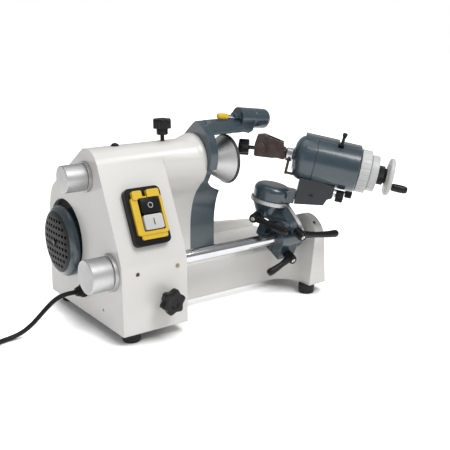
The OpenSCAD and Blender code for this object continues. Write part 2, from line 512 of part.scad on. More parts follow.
module work_spindle() color(steel) at_axis() difference() {
  union() { rodx(26, 193, wsp_r - 1); rodx(26, 40, wsp_r); rodx(150, 156, wsp_r); rodx(190, 214, 12); turned([[8, 0], [8, 11], [11, 13.5], [22, 13.5], [26, 20], [26.01, 0]]); }
  rodx(7, 240, tool_r);
}
module index_rings() color(ivory) at_axis() {
  difference() { rodx(156 + gap, 176, 43); rodx(150, 180, wsp_r - 1); for (i = [0 : 23]) rotate([i * 15, 0, 0]) translate([0, 43.9, 0]) rodx(155, 177, 1.7); }
  difference() { rodx(178, 193, 36); rodx(170, 200, wsp_r - 1); }
  difference() { rodx(176, 178, 33); rodx(170, 200, wsp_r - 1); }
}
module handwheel() color(ivory) at_axis() difference() {
  union() {
    turned([[212, 0], [212, 20], [215, 26], [214, 34], [216, 37.5], [219, 38], [223, 37], [224.5, 33], [222, 26], [225, 14], [225, 0]]);
    knurled(193, 208, 19, 32);
    rodx(207, 213, 15);
  }
  rodx(190, 214, 12);
  rodx(190, 230, tool_r);
  translate([0, -24, -14]) rodx(205, 230, 3 + run_fit);
}
module crank_grip() color(black) at_axis() translate([0, -24, -14]) { rodx(216, 226, 3); turned([[225.5, 0], [225.5, 6.6], [228, 7.6], [240, 8], [251, 7.6], [256, 6], [257, 0]]); }
module at_holder() { at_axis() translate([-50, 0, -1.5]) rotate([0, -8.5, 0]) children(); }
module drill_holder() color(brown) {
  at_axis() difference() {
    union() {
      rodx(-18, 60, tool_r);
      rodx(-20, 7.6, 13);
      along_y(-14, 14, [[-53, -15], [-56, 8], [-54, 25], [-40, 29], [0, 22], [4, 9], [5, -7], [-16, -12.5], [-48, -16]]);
      translate([-43, 0, 3]) rody(-16, 16, 9);
    }
    box(-34, -8, -7, 7, 12, 40);
  }
  at_holder() rodx(-33, 3, 4);
}
module holder_knob() color(black) at_holder() translate([-37, 0, 0]) rotate([0, 90, 0]) difference() { star(16.3, 21); translate([0, 0, 4]) cylinder(h = 22, r = 4 + run_fit, $fn = 40); }

translate([-ox, -oy, 0]) {
  headstock_casting();
  bed_casting();
  base_plate();
  rubber_feet();
  machine_screws();
  brass_screw();
  motor_housing();
  motor_shaft();
  cooling_fan();
  motor_pulley();
  fan_cover();
  drive_belt();
  quill();
  spindle_bearings();
  spindle_shaft();
  spindle_pulley();
  wheel_body();
  abrasive_rim();
  wheel_screw();
  dial_bases();
  spindle_dial();
  bar_dial();
  feed_sleeve();
  guide_bar();
  front_star_knob();
  top_star_knob();
  oil_plug();
  switch_box();
  switch_frame();
  stop_button();
  start_button();
  wheel_guard();
  dresser_block();
  dresser_shaft();
  dresser_cap();
  dresser_knob();
  cable_gland();
  power_lead();
  lead_coil();
  mains_plug();
  carriage();
  carriage_lever();
  tilt_lever();
  tilt_body();
  scale_rings();
  swivel_lever();
  swivel_arm();
  head_bracket();
  bracket_screws();
  adjust_knob();
  lock_knob();
  head_barrel();
  index_lever();
  stop_rod();
  work_spindle();
  index_rings();
  handwheel();
  crank_grip();
  drill_holder();
  holder_knob();
}
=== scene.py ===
import json
import math
import bmesh
import bpy
import numpy as np
from mathutils import Matrix

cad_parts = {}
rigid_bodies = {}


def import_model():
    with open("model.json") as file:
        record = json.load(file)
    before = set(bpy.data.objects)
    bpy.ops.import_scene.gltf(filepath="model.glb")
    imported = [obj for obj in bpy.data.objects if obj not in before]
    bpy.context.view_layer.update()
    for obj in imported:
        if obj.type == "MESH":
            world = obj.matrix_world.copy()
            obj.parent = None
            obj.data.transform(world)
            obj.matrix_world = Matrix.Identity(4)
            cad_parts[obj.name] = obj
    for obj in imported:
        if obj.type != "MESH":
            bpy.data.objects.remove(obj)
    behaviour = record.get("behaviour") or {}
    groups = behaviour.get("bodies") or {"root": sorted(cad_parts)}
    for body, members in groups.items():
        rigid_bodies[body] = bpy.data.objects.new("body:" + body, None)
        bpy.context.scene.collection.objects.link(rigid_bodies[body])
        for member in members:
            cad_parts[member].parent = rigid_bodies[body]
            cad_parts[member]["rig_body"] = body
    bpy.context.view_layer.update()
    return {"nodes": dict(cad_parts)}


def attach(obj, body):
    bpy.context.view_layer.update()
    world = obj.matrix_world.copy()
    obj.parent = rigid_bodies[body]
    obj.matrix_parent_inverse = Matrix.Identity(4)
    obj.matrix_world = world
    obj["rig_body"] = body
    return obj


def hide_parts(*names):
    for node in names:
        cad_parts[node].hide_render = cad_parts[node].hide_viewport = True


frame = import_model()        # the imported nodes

print("frame loaded:", len(frame["nodes"]), "nodes")

# Places: every frame is (rotation, point), in machine millimetres.
footprint = np.array([265.8, 86.0, 0.0])     # from the machine's own corner to the middle of its footprint
tau = 2 * math.pi
straight = np.eye(3)


def turn(axis, degrees):   # rotation matrix about one axis
    c, s = math.cos(math.radians(degrees)), math.sin(math.radians(degrees))
    return np.array({"x": [[1, 0, 0], [0, c, -s], [0, s, c]],
                     "y": [[c, 0, s], [0, 1, 0], [-s, 0, c]],
                     "z": [[c, -s, 0], [s, c, 0], [0, 0, 1]]}[axis], float)


def at(x, y, z, rotation=straight):
    return rotation, np.array([x, y, z], float)


def inside(where, offset, rotation=straight):   # a frame given in another's terms: (R r, R o + t)
    return where[0] @ rotation, where[1] + where[0] @ np.array(offset, float)


upright = turn("y", -90)      # a turned piece is made along X, and this stands it up along Z
machine = at(0, 0, 0)
standing = at(0, 0, 0, upright)
spindleLine = at(0, 122, 290)
motorLine = at(0, 225, 147)
barLine = at(0, 40, 131)
slopeFace = at(0, 0, 152, turn("x", 65))
swing = at(0, 40, 131, turn("x", 26))
tilt = at(407, 15, 175, turn("z", -26.5) @ turn("y", -30))
head = at(378, 62, 206, turn("z", -42) @ turn("y", 12))
headLine = inside(head, (0, 0, 100))
dresser = at(338, 100, 373, turn("y", 7))
holder = inside(headLine, (-50, 0, -1.5), turn("y", -8.5))


def toRow(points, where=machine):   # row metres = (R p + t - footprint) / 1000
    return (np.asarray(points, float) @ where[0].T + where[1] - footprint) / 1000


def intoScene(name, data):
    thing = bpy.data.objects.new(name, data)
    bpy.context.scene.collection.objects.link(thing)
    return thing


# Camera: its place in machine millimetres, and its three axes in the row frame.
cameraView = {"lens": 61.2, "place": (-581.13, -1122.56, 565.0),
              "right": (0.81374226, -0.58122111, -0.00235854),
              "down": (-0.15375375, -0.21134704, -0.96524205),
              "ahead": (0.56052058, 0.78582088, -0.26134694)}
cameraData = bpy.data.cameras.new("studioCamera")
cameraData.lens = cameraView["lens"]
camera = intoScene("studioCamera", cameraData)
pose = np.eye(4)
pose[:3, :3] = np.array([cameraView["right"], np.negative(cameraView["down"]),
                         np.negative(cameraView["ahead"])]).T
pose[:3, 3] = toRow(cameraView["place"])
camera.matrix_world = Matrix(pose.tolist())
bpy.context.scene.camera = camera


# Finishes. Lengths in a look are metres; "line" is a frame whose X is the lathe's axis.
plainLook = {"metal": 0.0, "roughSwing": 0.06, "patch": 18.0, "patchDetail": 5.0, "grain": 900.0,
             "detail": 3.0, "speckle": 0.25, "bump": 0.2, "depth": 0.0002, "edge": 0.0008,
             "worn": None, "wear": 0.5, "line": None, "stretch": None, "sockets": {}}
noiseSpan = (0.3, 0.7)        # the part of the noise that colour and roughness are spread over
edgeSpan = (0.97, 0.82)       # softened normal against the true one: from flat to fully on an edge
finishes, slotOf = {}, {}


def addNode(tree, kind, feeds, values=(), **settings):   # settings come first: they decide the sockets
    node = tree.nodes.new("ShaderNode" + kind)
    for key, value in settings.items():
        setattr(node, key, value)
    for socket, value in dict(values).items():
        node.inputs[socket].default_value = value
    for socket, source in feeds.items():
        tree.links.new(source, node.inputs[socket])
    return node


def makeFinish(name, slot, ownLook):
    # colour from slow patches and a little grain, roughness and bump from the grain,
    # normals softened over the edges, and a paler colour mixed in where the edges are worn
    look = {**plainLook, **ownLook}
    material = bpy.data.materials.new(name)
    material.use_nodes = True
    tree = material.node_tree
    place = grainPlace = addNode(tree, "TexCoord", {}).outputs["Object"]
    if look["line"] is not None:       # grain by (x, distance from the axis), so that it runs in rings
        turnBack = look["line"][0].T
        centre = turnBack @ toRow(np.zeros(3), look["line"])
        onLine = addNode(tree, "Mapping", {"Vector": place},
                         {"Rotation": Matrix(turnBack.tolist()).to_euler(),
                          "Location": tuple(float(v) for v in -centre)})
        apart = addNode(tree, "SeparateXYZ", {"Vector": onLine.outputs["Vector"]})
        squares = [addNode(tree, "Math", {0: apart.outputs[axis], 1: apart.outputs[axis]},
                           operation="MULTIPLY").outputs[0] for axis in "YZ"]
        total = addNode(tree, "Math", dict(enumerate(squares)), operation="ADD")
        reach = addNode(tree, "Math", {0: total.outputs[0]}, operation="SQRT")
        grainPlace = addNode(tree, "CombineXYZ", {"X": apart.outputs["X"],
                                                  "Y": reach.outputs[0]}).outputs["Vector"]
    elif look["stretch"]:
        grainPlace = addNode(tree, "Mapping", {"Vector": place},
                             {"Scale": look["stretch"]}).outputs["Vector"]
    patches = addNode(tree, "TexNoise", {"Vector": place},
                      {"Scale": look["patch"], "Detail": look["patchDetail"]})
    grain = addNode(tree, "TexNoise", {"Vector": grainPlace},
                    {"Scale": look["grain"], "Detail": look["detail"]}).outputs["Fac"]
    mixed = addNode(tree, "Math", {0: grain, 2: patches.outputs["Fac"]}, {1: look["speckle"]},
                    operation="MULTIPLY_ADD")
    colours = addNode(tree, "ValToRGB", {"Fac": mixed.outputs[0]})
    for element, position, tone in zip(colours.color_ramp.elements, noiseSpan, look["colours"]):
        element.position, element.color = position, (*tone, 1)
    colour = colours.outputs["Color"]
    rough = addNode(tree, "MapRange", {"Value": grain},
                    {"From Min": noiseSpan[0], "From Max": noiseSpan[1],
                     "To Min": look["rough"] - look["roughSwing"],
                     "To Max": look["rough"] + look["roughSwing"]})
    soft = addNode(tree, "Bevel", {}, {"Radius": look["edge"]}, samples=6).outputs["Normal"]
    bump = addNode(tree, "Bump", {"Height": grain, "Normal": soft},
                   {"Strength": look["bump"], "Distance": look["depth"]})
    if look["worn"]:
        true = addNode(tree, "NewGeometry", {}).outputs["Normal"]
        match = addNode(tree, "VectorMath", {0: soft, 1: true}, operation="DOT_PRODUCT")
        onEdge = addNode(tree, "MapRange", {"Value": match.outputs["Value"]},
                         {"From Min": edgeSpan[0], "From Max": edgeSpan[1], "To Max": look["wear"]})
        colour = addNode(tree, "Mix", {"Factor": onEdge.outputs["Result"], 6: colour},
                         {7: (*look["worn"], 1)}, data_type="RGBA").outputs[2]
    shader = tree.nodes["Principled BSDF"]
    for socket, value in {"Metallic": look["metal"], **look["sockets"]}.items():
        shader.inputs[socket].default_value = value
    for socket, source in {"Base Color": colour, "Roughness": rough.outputs["Result"],
                           "Normal": bump.outputs["Normal"]}.items():
        tree.links.new(source, shader.inputs[socket])
    finishes[name], slotOf[name] = material, slot


makeFinish("whiteEnamel", "white_paint", {
    "colours": ((0.755, 0.745, 0.71), (0.80, 0.79, 0.76)), "rough": 0.34, "grain": 1400, "bump": 0.10,
    "depth": 0.0001, "patch": 9, "edge": 0.0015, "worn": (0.82, 0.815, 0.80), "wear": 0.4,
    "sockets": {"Coat Weight": 0.25, "Coat Roughness": 0.2}})
makeFinish("slateEnamel", "blue_paint", {
    "colours": ((0.024, 0.045, 0.060), (0.036, 0.062, 0.080)), "rough": 0.3, "grain": 1200, "bump": 0.1,
    "depth": 0.0001, "patch": 14, "edge": 0.002, "worn": (0.16, 0.2, 0.22), "wear": 0.55,
    "sockets": {"Coat Weight": 0.5, "Coat Roughness": 0.12}})
makeFinish("blackEnamel", "black_paint", {
    "colours": ((0.009, 0.011, 0.014), (0.016, 0.020, 0.025)), "rough": 0.36, "grain": 1300, "bump": 0.12,
    "depth": 0.0001, "patch": 20, "worn": (0.08, 0.085, 0.09), "wear": 0.4,
    "sockets": {"Coat Weight": 0.12, "Specular IOR Level": 0.35}})
for key, line in {"Spindle": spindleLine, "Bar": barLine, "Head": headLine, "Tilt": tilt}.items():
    makeFinish("turnedAlloy" + key, "aluminium", {
        "colours": ((0.44, 0.44, 0.445), (0.52, 0.52, 0.525)), "metal": 0.9, "rough": 0.5,
        "roughSwing": 0.04, "grain": 700, "detail": 2.0, "speckle": 0.12, "bump": 0.03, "depth": 0.0001,
        "line": line, "patch": 30, "edge": 0.0006, "worn": (0.8, 0.8, 0.8)})
makeFinish("groundSteel", "steel", {
    "colours": ((0.40, 0.40, 0.41), (0.52, 0.52, 0.53)), "metal": 1.0, "rough": 0.24, "grain": 700,
    "stretch": (0.08, 1, 1), "bump": 0.1, "depth": 0.0001, "edge": 0.0005, "worn": (0.7, 0.7, 0.7)})
makeFinish("barChrome", "bar_chrome", {
    "colours": ((0.44, 0.445, 0.46), (0.52, 0.525, 0.54)), "metal": 1.0, "rough": 0.16,
    "roughSwing": 0.03, "grain": 500, "stretch": (0.03, 1, 1), "bump": 0.05, "depth": 0.00008,
    "edge": 0.0005})
makeFinish("blackMoulded", "black_plastic", {
    "colours": ((0.006, 0.006, 0.0065), (0.011, 0.011, 0.012)), "rough": 0.30, "grain": 2200,
    "bump": 0.12, "depth": 0.0001, "edge": 0.001, "worn": (0.05, 0.05, 0.05), "wear": 0.4,
    "sockets": {"Specular IOR Level": 0.2}})
makeFinish("softBlack", "soft_black", {
    "colours": ((0.007, 0.007, 0.0075), (0.013, 0.013, 0.0135)), "rough": 0.5, "grain": 1800,
    "depth": 0.00015, "sockets": {"Specular IOR Level": 0.25}})
makeFinish("yellowMoulded", "yellow_plastic", {
    "colours": ((0.72, 0.46, 0.018), (0.80, 0.53, 0.03)), "rough": 0.36, "grain": 2000, "bump": 0.15,
    "depth": 0.0001, "edge": 0.001, "worn": (0.88, 0.68, 0.2), "wear": 0.3})
makeFinish("ivoryMoulded", "ivory_plastic", {
    "colours": ((0.55, 0.56, 0.55), (0.63, 0.64, 0.63)), "rough": 0.4, "grain": 1800, "bump": 0.12,
    "depth": 0.0001, "edge": 0.001})
makeFinish("burnishedSteel", "burnished", {
    "colours": ((0.018, 0.013, 0.012), (0.055, 0.040, 0.035)), "metal": 0.75, "rough": 0.36,
    "grain": 1100, "depth": 0.00015, "patch": 60, "worn": (0.3, 0.27, 0.25), "wear": 0.6})
makeFinish("darkAbrasive", "abrasive", {
    "colours": ((0.02, 0.02, 0.02), (0.07, 0.068, 0.065)), "rough": 0.8, "grain": 2600, "bump": 0.6,
    "depth": 0.0003, "speckle": 0.8, "edge": 0.0005})
makeFinish("turnedBrass", "brass", {
    "colours": ((0.24, 0.20, 0.14), (0.36, 0.30, 0.21)), "metal": 1.0, "rough": 0.34, "bump": 0.1,
    "edge": 0.0004})

# The finish of each solid that isn't black moulding.
nodeFinish = {"whiteEnamel": "headstock_casting bed_casting",
              "blackEnamel": "head_bracket motor_housing bracket_screws",
              "slateEnamel": "wheel_guard dresser_block dresser_knob carriage tilt_body swivel_arm "
                             "head_barrel fan_cover",
              "turnedAlloySpindle": "spindle_dial dial_bases spindle_pulley motor_pulley wheel_body",
              "turnedAlloyBar": "bar_dial", "turnedAlloyTilt": "scale_rings",
              "groundSteel": "base_plate motor_shaft quill spindle_bearings spindle_shaft wheel_screw "
                             "feed_sleeve dresser_shaft work_spindle",
              "barChrome": "guide_bar", "turnedBrass": "brass_screw", "darkAbrasive": "abrasive_rim",
              "softBlack": "rubber_feet drive_belt power_lead lead_coil mains_plug cable_gland",
              "yellowMoulded": "switch_frame dresser_cap",
              "ivoryMoulded": "start_button index_rings handwheel",
              "burnishedSteel": "drill_holder stop_rod machine_screws"}
for node in frame["nodes"].values():
    node.data.materials.clear()
    node.data.materials.append(finishes["blackMoulded"])
for finish, names in nodeFinish.items():
    for name in names.split():
        frame["nodes"][name].data.materials[0] = finishes[finish]
print("finishes ready:", len(finishes))


# Shapes: each is (points, faces), in millimetres of its own frame.
def rounded(corners, radius, steps=4, closed=False):
    # between its cut points a and b, corner c becomes (1-t)^2 a + 2t(1-t) c + t^2 b
    corners = np.asarray(corners, float)
    before, after = np.roll(corners, 1, 0), np.roll(corners, -1, 0)
    lengthIn = np.linalg.norm(corners - before, axis=1)
    lengthOut = np.linalg.norm(after - corners, axis=1)
    cut = np.minimum(radius, 0.48 * np.minimum(lengthIn, lengthOut))[:, None]   # just short of half an edge
    a = corners + (before - corners) / np.maximum(lengthIn, 1e-9)[:, None] * cut
    b = corners + (after - corners) / np.maximum(lengthOut, 1e-9)[:, None] * cut
    t = np.linspace(0, 1, steps + 1)[None, :, None]
    arcs = (1 - t) ** 2 * a[:, None] + 2 * t * (1 - t) * corners[:, None] + t ** 2 * b[:, None]
    if closed:
        return arcs.reshape(-1, corners.shape[1])
    return np.concatenate([corners[:1], arcs[1:-1].reshape(-1, corners.shape[1]), corners[-1:]])


def unitCircle(count):   # (cos a, sin a) at equal steps
    a = np.linspace(0, tau, count, endpoint=False)
    return np.stack([np.cos(a), np.sin(a)], 1)


def loft(rings):   # rings (n, m, 3) joined in order by quads, with a cap at each end
    rings = np.asarray(rings, float)
    count, around = rings.shape[:2]
    i, j = np.meshgrid(np.arange(count - 1), np.arange(around), indexing="ij")
    k = (j + 1) % around
    quads = np.stack([i * around + j, i * around + k, (i + 1) * around + k, (i + 1) * around + j], -1)
    caps = [list(range(around))[::-1], list(range((count - 1) * around, count * around))]
    return rings.reshape(-1, 3), quads.reshape(-1, 4).tolist() + caps


def loop(rings):   # the same with the last ring joined to the first, and no caps
    count, around = rings.shape[:2]
    i, j = np.meshgrid(np.arange(count), np.arange(around), indexing="ij")
    k, m = (i + 1) % count, (j + 1) % around
    quads = np.stack([i * around + j, i * around + m, k * around + m, k * around + j], -1)
    return rings.reshape(-1, 3), quads.reshape(-1, 4).tolist()


def spun(x, radius, around):   # a section turned about X: (x, r cos a, r sin a)
    a = np.linspace(0, tau, around, endpoint=False)
    return np.stack([np.repeat(x[:, None], around, 1), radius * np.cos(a), radius * np.sin(a)], -1)


def turned(profile, bore=0.0, around=96, soften=0.8, steps=3, flutes=0, depth=0.0):
    # (x, r) spun about X; a flute takes depth (1 - cos(n a)) / 2 off the outer skin;
    # a bore makes the section a closed ring
    profile = np.asarray(profile, float)
    if bore:
        profile = np.concatenate([[[profile[0, 0], bore]], profile, [[profile[-1, 0], bore]]])
    profile = rounded(profile, soften, steps, closed=bool(bore))
    radius = np.maximum(profile[:, 1:], 1e-4)
    if flutes:
        skin = 0.6                                    # the flutes fade out over this depth
        outer = np.clip((profile[:, 1:] - profile[:, 1].max() + 2 * depth + skin) / skin, 0, 1)
        a = np.linspace(0, tau, around, endpoint=False)
        radius = radius - outer * depth * (0.5 - 0.5 * np.cos(flutes * a))
    points = spun(profile[:, 0], radius, around)
    return loop(points) if bore else loft(points)


def ringSection(section, soften, around=72):   # a closed section (x, r) spun about X
    section = rounded(section, soften, 3, closed=True)
    return loop(spun(section[:, 0], section[:, 1:], around))


def inset(outline, amount):   # each point moves inwards along the mean of its two edge normals
    outline = np.asarray(outline, float)
    after = np.roll(outline, -1, 0)
    edge = after - outline
    edge /= np.maximum(np.linalg.norm(edge, axis=1), 1e-9)[:, None]
    normal = np.stack([-edge[:, 1], edge[:, 0]], 1)
    mean = normal + np.roll(normal, 1, 0)
    mean /= np.maximum(np.linalg.norm(mean, axis=1), 1e-9)[:, None]
    sign = np.sign(np.sum(outline[:, 0] * after[:, 1] - outline[:, 1] * after[:, 0]))
    return outline + sign * mean * amount


def level(outline, z):   # an outline (x, y) laid flat at height z
    return np.c_[outline, np.full(len(outline), z)]


def rolledRim(outline, edge, height, way, steps):
    # a quarter round: inset by edge (1 - sin a) where it has gone edge (1 - cos a) from height;
    # way 1 opens upwards from a bottom face, way -1 closes onto a top face
    angles = np.linspace(0, math.pi / 2, steps + 1)[::way]
    return [level(inset(outline, edge * (1 - math.sin(a))), height + way * edge * (1 - math.cos(a)))
            for a in angles]


def prism(outline, low, high, edge, bottomEdge=None, steps=4):
    # an outline (x, y) raised along Z from low to high, with its rims rolled over
    bottomEdge = edge if bottomEdge is None else bottomEdge
    return loft(rolledRim(outline, bottomEdge, low, 1, steps) + rolledRim(outline, edge, high, -1, steps))


def frameRing(outer, inner, low, high, edge):
    # a flat ring between two outlines of equal count; its rims are inset by s edge where they are h edge down
    rolls = ((0, 1), (0.3, 0.3), (1, 0))
    rise = [level(inset(outer, edge * s), high - edge * h) for s, h in rolls]
    fall = [level(inset(inner, -edge * s), high - edge * h) for s, h in rolls[::-1]]
    return loop(np.array([level(outer, low)] + rise + fall + [level(inner, low)]))


def roundBox(x0, x1, y0, y1, r, steps=6):   # rectangle outline with round corners
    return rounded([(x0, y0), (x1, y0), (x1, y1), (x0, y1)], r * 1.2, steps, closed=True)


def placed(part, where):   # moves a shape within its piece's frame
    return part[0] @ where[0].T + where[1], part[1]


def together(parts):
    points, faces, offset = [], [], 0
    for p, f in parts:
        points.append(p)
        faces += [[v + offset for v in face] for face in f]
        offset += len(p)
    return np.concatenate(points), faces


def addPiece(name, shape, where, finish, body, hides=()):
    weld, sharp = 3e-6, 34                            # metres, degrees
    mesh = bpy.data.meshes.new(name)
    mesh.from_pydata(toRow(shape[0], where).tolist(), [], shape[1])
    work = bmesh.new()
    work.from_mesh(mesh)
    bmesh.ops.remove_doubles(work, verts=work.verts, dist=weld)
    bmesh.ops.recalc_face_normals(work, faces=work.faces)
    work.to_mesh(mesh)
    work.free()
    mesh.shade_smooth()
    mesh.set_sharp_from_angle(angle=math.radians(sharp))
    mesh.materials.append(finishes[finish])
    piece = intoScene(name, mesh)
    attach(piece, body)
    if hides:
        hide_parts(*hides)
    return piece


def softCopy(node, finish, width, segments=2, second=None, chooser=None):
    # a solid with its triangles merged, its flat facets joined and its edges rolled over by width millimetres
    weld, flat, sharp = 1.5e-5, 0.6, 38               # metres, degrees, degrees
    source = frame["nodes"][node]
    mesh = source.data.copy()
    mesh.materials.clear()
    for name in filter(None, (finish, second)):
        mesh.materials.append(finishes[name])
    work = bmesh.new()
    work.from_mesh(mesh)
    bmesh.ops.remove_doubles(work, verts=work.verts, dist=weld)
    bmesh.ops.dissolve_limit(work, angle_limit=math.radians(flat), verts=work.verts, edges=work.edges)
    bmesh.ops.recalc_face_normals(work, faces=work.faces)
    if chooser:
        for face in work.faces:
            face.material_index = int(chooser(np.array(face.calc_center_median()) * 1000 + footprint))
    work.to_mesh(mesh)
    work.free()
    mesh.shade_smooth()
    mesh.set_sharp_from_angle(angle=math.radians(sharp))
    piece = intoScene("soft_" + node, mesh)
    bevel = piece.modifiers.new("rolledEdges", "BEVEL")
    bevel.width = width / 1000
    bevel.segments = segments
    bevel.limit_method = "ANGLE"
    bevel.angle_limit = math.radians(sharp)
    bevel.use_clamp_overlap = True
    bevel.harden_normals = True
    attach(piece, source["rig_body"])
    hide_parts(node)


def marks(radius, start, stop, count, long=5, width=0.35, reach=0.06, first=0.0):
    # graduations round X: thin boxes from start towards stop on a cylinder, every long-th one longer
    extra, sunk = 1.6, 0.3                            # what a long line gains, and how deep each line starts
    boxFaces = [[0, 3, 2, 1], [4, 5, 6, 7], [0, 1, 5, 4], [1, 2, 6, 5], [2, 3, 7, 6], [3, 0, 4, 7]]
    parts = []
    for n in range(count):
        a = first + tau * n / count
        end = stop if n % long else stop + math.copysign(extra, stop - start)
        x = np.array([start, end, end, start] * 2)
        y = np.array([-1, -1, 1, 1] * 2) * width / 2
        z = np.array([radius - sunk] * 4 + [radius + reach] * 4)
        c, s = math.cos(a), math.sin(a)
        parts.append((np.stack([x, y * c + z * s, z * c - y * s], 1), boxFaces))
    return together(parts)


def starKnob(radius, height, lobes, edge, bore=0.0, depth=0.0):
    # lobed grip along Z with a dished top; its outline is r = R (1 - dip |sin(n a / 2)|^power)
    dip, power, lowerEdge = 0.2, 1.7, 2
    circle = unitCircle(216)
    a = np.linspace(0, tau, len(circle), endpoint=False)
    outline = circle * (radius * (1 - dip * np.abs(np.sin(lobes * a / 2)) ** power))[:, None]
    rings = [level(circle * bore, depth), level(circle * bore, 0)] if bore else []
    rings += rolledRim(outline, lowerEdge, 0, 1, 4) + rolledRim(outline, edge, height, -1, 6)
    for share, drop in ((0.62, -0.35), (0.4, -0.1), (0.36, 0.5), (0.33, 1.5), (0.05, 1.8)):
        rings.append(level(circle * radius * share, height - drop))
    return loft(rings)


def hexSocket(where, radius, height, hexRadius, depth):
    # cap-screw head along Z with a six-sided hole: r = R cos(30) / cos(a - 30) over each sixth of a turn
    circle = unitCircle(48)
    a = np.linspace(0, tau, len(circle), endpoint=False)
    sixth = math.cos(math.pi / 6) / np.cos((a % (tau / 6)) - math.pi / 6)
    hexagon = circle * (hexRadius * sixth)[:, None]
    rows = [(circle * radius, 0), (circle * radius, height - 0.6),
            (circle * (radius - 0.2), height - 0.2), (circle * (radius - 0.6), height),
            (hexagon * 1.06, height), (hexagon, height - 0.2), (hexagon, height - depth)]
    return placed(loft([level(line, z) for line, z in rows]), where)


def notchedRing(low, high, radius, bore, count, depth):
    # the rim's radius drops by depth exp(-(k s)^2) near each of n places, with s = sin(n a / 2)
    around, narrow, fade = 480, 3.2, 2.5
    section = rounded([(low, bore), (low, radius), (high, radius), (high, bore)], 0.9, 3, closed=True)
    a = np.linspace(0, tau, around, endpoint=False)
    rim = np.clip((section[:, 1:] - radius + fade) / fade, 0, 1)
    radii = section[:, 1:] - rim * depth * np.exp(-(narrow * np.sin(count * a / 2)) ** 2)
    return loop(spun(section[:, 0], radii, around))


def smoothRun(points, each):   # Catmull-Rom: 0.5 (2b + (c-a)t + (2a-5b+4c-d)t2 + (3b-a-3c+d)t3)
    p = np.concatenate([[2 * points[0] - points[1]], points, [2 * points[-1] - points[-2]]])
    a, b, c, d = p[:-3, None], p[1:-2, None], p[2:-1, None], p[3:, None]
    t = np.linspace(0, 1, each, endpoint=False)[None, :, None]
    line = 0.5 * (2 * b + (c - a) * t + (2 * a - 5 * b + 4 * c - d) * t ** 2
                  + (3 * b - a - 3 * c + d) * t ** 3)
    return np.concatenate([line.reshape(-1, 3), points[-1:]])


print("shape helpers ready")


# Power lead: free run along the bench, its coil, and its plug. The route's points are those of the solid.
leadLook = {"diameter": 8.6, "coilAt": (-275.0, 135.0), "outer": 55.6, "inner": 47.0,
            "low": 4.5, "high": 13.15, "turns": 3.4, "perTurn": 24,
            "tailSteps": (14, 30, 44, 56), "tailRise": (0.7, 3.2, 5.4, 5.85)}
run = np.array([(-20, 152, 65), (-32, 152, 65), (-45, 152, 64), (-57, 152, 60.5), (-69, 152, 53.5),
                (-82, 152, 43.5), (-96, 152, 31.5), (-110, 152, 20.5), (-127, 152, 11),
                (-146, 151.5, 6), (-167, 149, 4.5), (-184, 141.5, 4.5), (-196, 128, 4.5),
                (-205, 112, 4.5), (-217, 98, 4.5), (-234, 86.5, 4.5), (-254, 80.8, 4.5)], float)
stations = [(0, "outer", "low"), (0.80, "outer", "low"), (0.97, "inner", "low"),
            (1.60, "inner", "low"), (1.80, "inner", "high"), (2.42, "inner", "high"),
            (2.60, "outer", "high"), (3.40, "outer", "high")]   # turns so far, and where the coil lies then
turnsAt = np.linspace(0, leadLook["turns"], int(leadLook["turns"] * leadLook["perTurn"]) + 1)
stops = np.array([station[0] for station in stations])
past = np.clip(np.searchsorted(stops, turnsAt, side="right") - 1, 0, len(stops) - 2)
share = (turnsAt - stops[past]) / (stops[past + 1] - stops[past])
share = share ** 2 * (3 - 2 * share)                       # each step eases in and out
sizes = [np.array([leadLook[station[k]] for station in stations]) for k in (1, 2)]
coilRadius, coilHeight = [size[past] * (1 - share) + size[past + 1] * share for size in sizes]
coilAngle = -tau / 4 - tau * turnsAt                       # clockwise from the side that the run comes in on
coil = np.stack([leadLook["coilAt"][0] + coilRadius * np.cos(coilAngle),
                 leadLook["coilAt"][1] + coilRadius * np.sin(coilAngle), coilHeight], 1)
away = (coil[-1] - coil[-2]) / np.linalg.norm(coil[-1] - coil[-2])
tail = coil[-1] + np.outer(leadLook["tailSteps"], away) + np.outer(leadLook["tailRise"], (0, 0, 1))
leadLine = np.concatenate([run, coil, tail])
leadPath = smoothRun(leadLine, 4)
curve = bpy.data.curves.new("powerLead", "CURVE")
curve.dimensions = "3D"
curve.bevel_depth = leadLook["diameter"] / 2000
curve.bevel_resolution = 6
curve.use_fill_caps = True
spline = curve.splines.new("POLY")
spline.points.add(len(leadPath) - 1)
spline.points.foreach_set("co", np.c_[toRow(leadPath), np.ones(len(leadPath))].ravel())
spline.use_smooth = True
curve.materials.append(finishes["softBlack"])
lead = intoScene("powerLead", curve)
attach(lead, "machine")
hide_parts("power_lead", "lead_coil")

plugLook = {"bodyRadius": 18.5, "ribs": 6, "ribbedLength": 24, "ribRadius": 12.6, "taper": 6.2,
            "pinRadius": 2.4, "pinsApart": 19.0, "fromTail": 40}
plugTurn = math.degrees(math.atan2(-away[1], -away[0]))
plugSeat = (turn("z", plugTurn), tail[-1] + away * plugLook["fromTail"])
relief = [(14, 13.4)]
for n in range(plugLook["ribs"]):            # strain relief: ribs on a taper towards the lead
    x = 15 + plugLook["ribbedLength"] * n / plugLook["ribs"]
    r = plugLook["ribRadius"] - plugLook["taper"] * n / plugLook["ribs"]
    relief += [(x, r), (x + 1.8, r - 0.3), (x + 2.0, r - 1.4), (x + 3.4, r - 1.6)]
plug = addPiece("mainsPlug", turned([(-38, 0), (-38, 16.5), (-36.5, 18), (-30, plugLook["bodyRadius"]),
                                     (-8, 17.4), (8, 16.2), (13, 14.6)] + relief + [(40, 5.4), (40, 0)]),
                plugSeat, "blackMoulded", "machine", ["mains_plug"])
pin = turned([(-57, 0), (-57, 1.5), (-55.6, plugLook["pinRadius"]), (-37.5, plugLook["pinRadius"]),
              (-37.5, 0)], around=40, soften=0.4)
